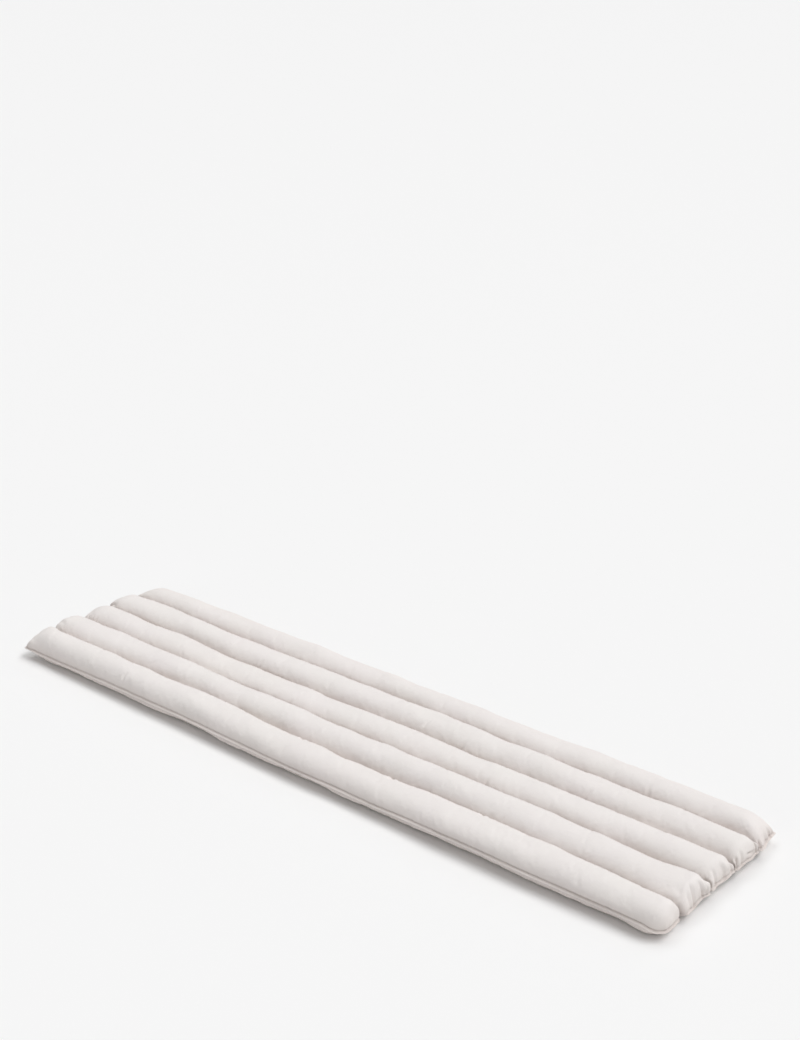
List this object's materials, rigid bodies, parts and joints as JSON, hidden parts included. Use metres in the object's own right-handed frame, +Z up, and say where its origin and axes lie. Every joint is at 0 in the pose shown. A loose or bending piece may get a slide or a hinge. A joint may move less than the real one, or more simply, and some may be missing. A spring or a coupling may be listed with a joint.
{
  "type": "chaise lounge cushion",
  "caption": "Long flat chaise lounge cushion of plain off-white cloth, sewn through lengthwise into padded channels, with one plain edge seam all round.",
  "frame": {"origin": "on the surface that the cushion lies on, under the middle of its outline", "axes": "+X along the length, +Y across the width, +Z up"},
  "size_m": [2.116, 0.509, 0.0837],
  "materials": {
    "cloth": "matt plain-woven cloth, off-white with a faint warm grey cast"
  },
  "bodies": {
    "root": {"cushion": "cloth"}
  },
  "joints": []
}
